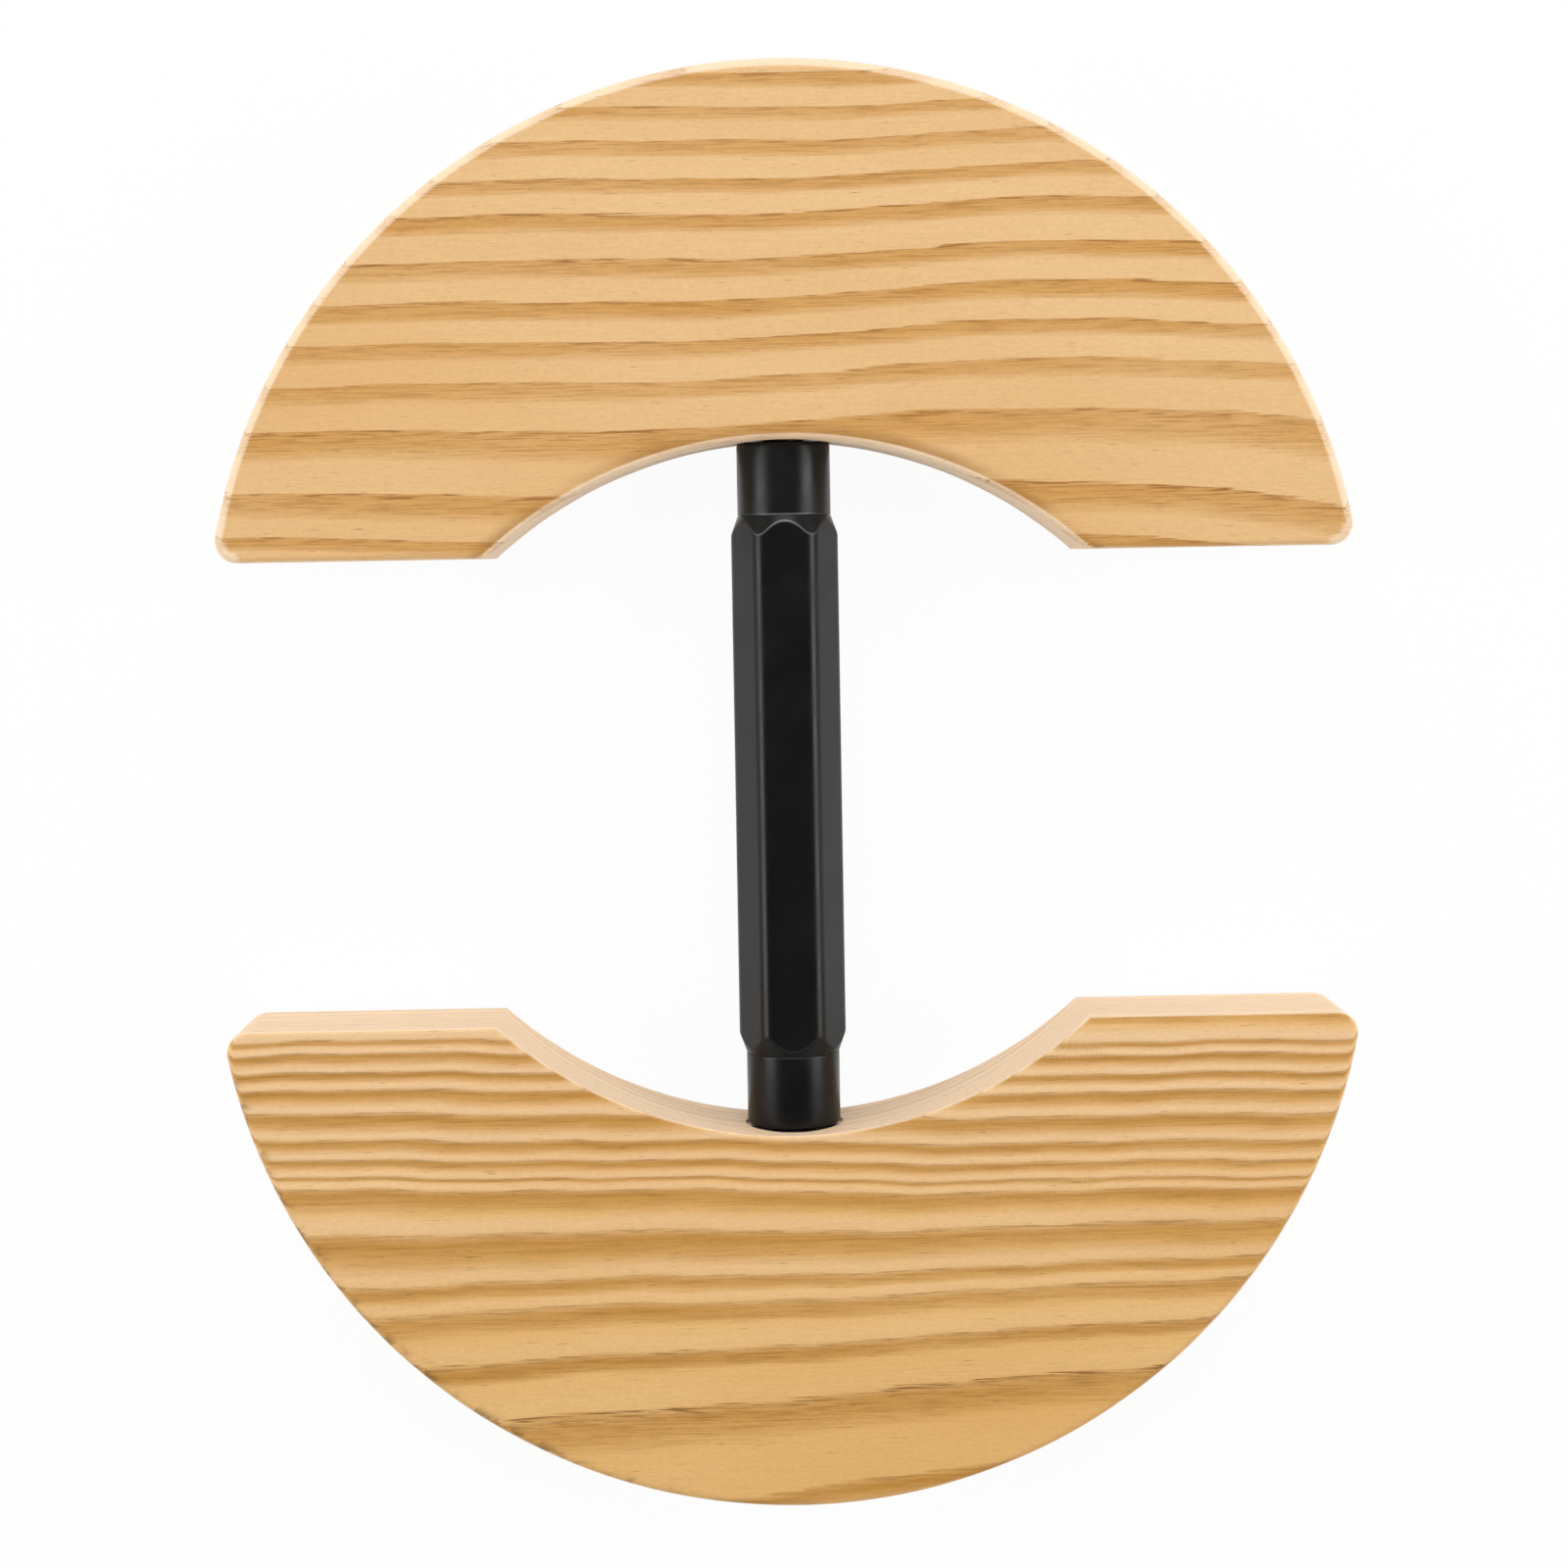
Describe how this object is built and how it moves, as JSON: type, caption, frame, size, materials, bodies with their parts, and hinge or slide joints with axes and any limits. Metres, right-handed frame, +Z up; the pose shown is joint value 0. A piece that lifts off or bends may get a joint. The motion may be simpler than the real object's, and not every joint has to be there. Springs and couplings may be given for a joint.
{
  "type": "hat stretcher",
  "caption": "Hat stretcher: rounded pine half-blocks with sawn saddles, spread along a left- and right-hand screw by turning a black hexagon barrel between them.",
  "frame": {"origin": "on the surface the stretcher lies on, under the middle of the barrel, with the screw closed", "axes": "+X across the halves, +Y along the screw towards the upper half, +Z up out of the board's face"},
  "size_m": [0.15, 0.1916, 0.018],
  "materials": {
    "pine": "planed and sanded, bare",
    "black_barrel": "black anodised, satin",
    "black_collar": "black anodised, satin",
    "spring_steel": "phosphated",
    "zinc_steel": "zinc plated",
    "zinc_insert": "zinc plated, as cast"
  },
  "bodies": {
    "collars": {"upper_collar": "black_collar", "lower_collar": "black_collar"},
    "barrel": {"hex_barrel": "black_barrel", "upper_snap_ring": "spring_steel", "lower_snap_ring": "spring_steel"},
    "upper_half": {"upper_block": "pine", "upper_stud": "zinc_steel", "upper_insert": "zinc_insert"},
    "lower_half": {"lower_block": "pine", "lower_stud": "zinc_steel", "lower_insert": "zinc_insert"}
  },
  "joints": [
    {"name": "barrel_turn", "type": "hinge", "parent": "collars", "child": "barrel", "pos_m": [0, 0, 0.009], "axis": [0, 1, 0], "range_deg": [0, 10800]},
    {"name": "upper_half_travel", "type": "slide", "parent": "collars", "child": "upper_half", "axis": [0, 1, 0], "range_m": [0, 0.03]},
    {"name": "lower_half_travel", "type": "slide", "parent": "collars", "child": "lower_half", "axis": [0, -1, 0], "range_m": [0, 0.03]}
  ],
  "couplings": [
    {"joint": "upper_half_travel", "follows": "barrel_turn", "m_per_rad": 0.00015915},
    {"joint": "lower_half_travel", "follows": "barrel_turn", "m_per_rad": 0.00015915}
  ]
}
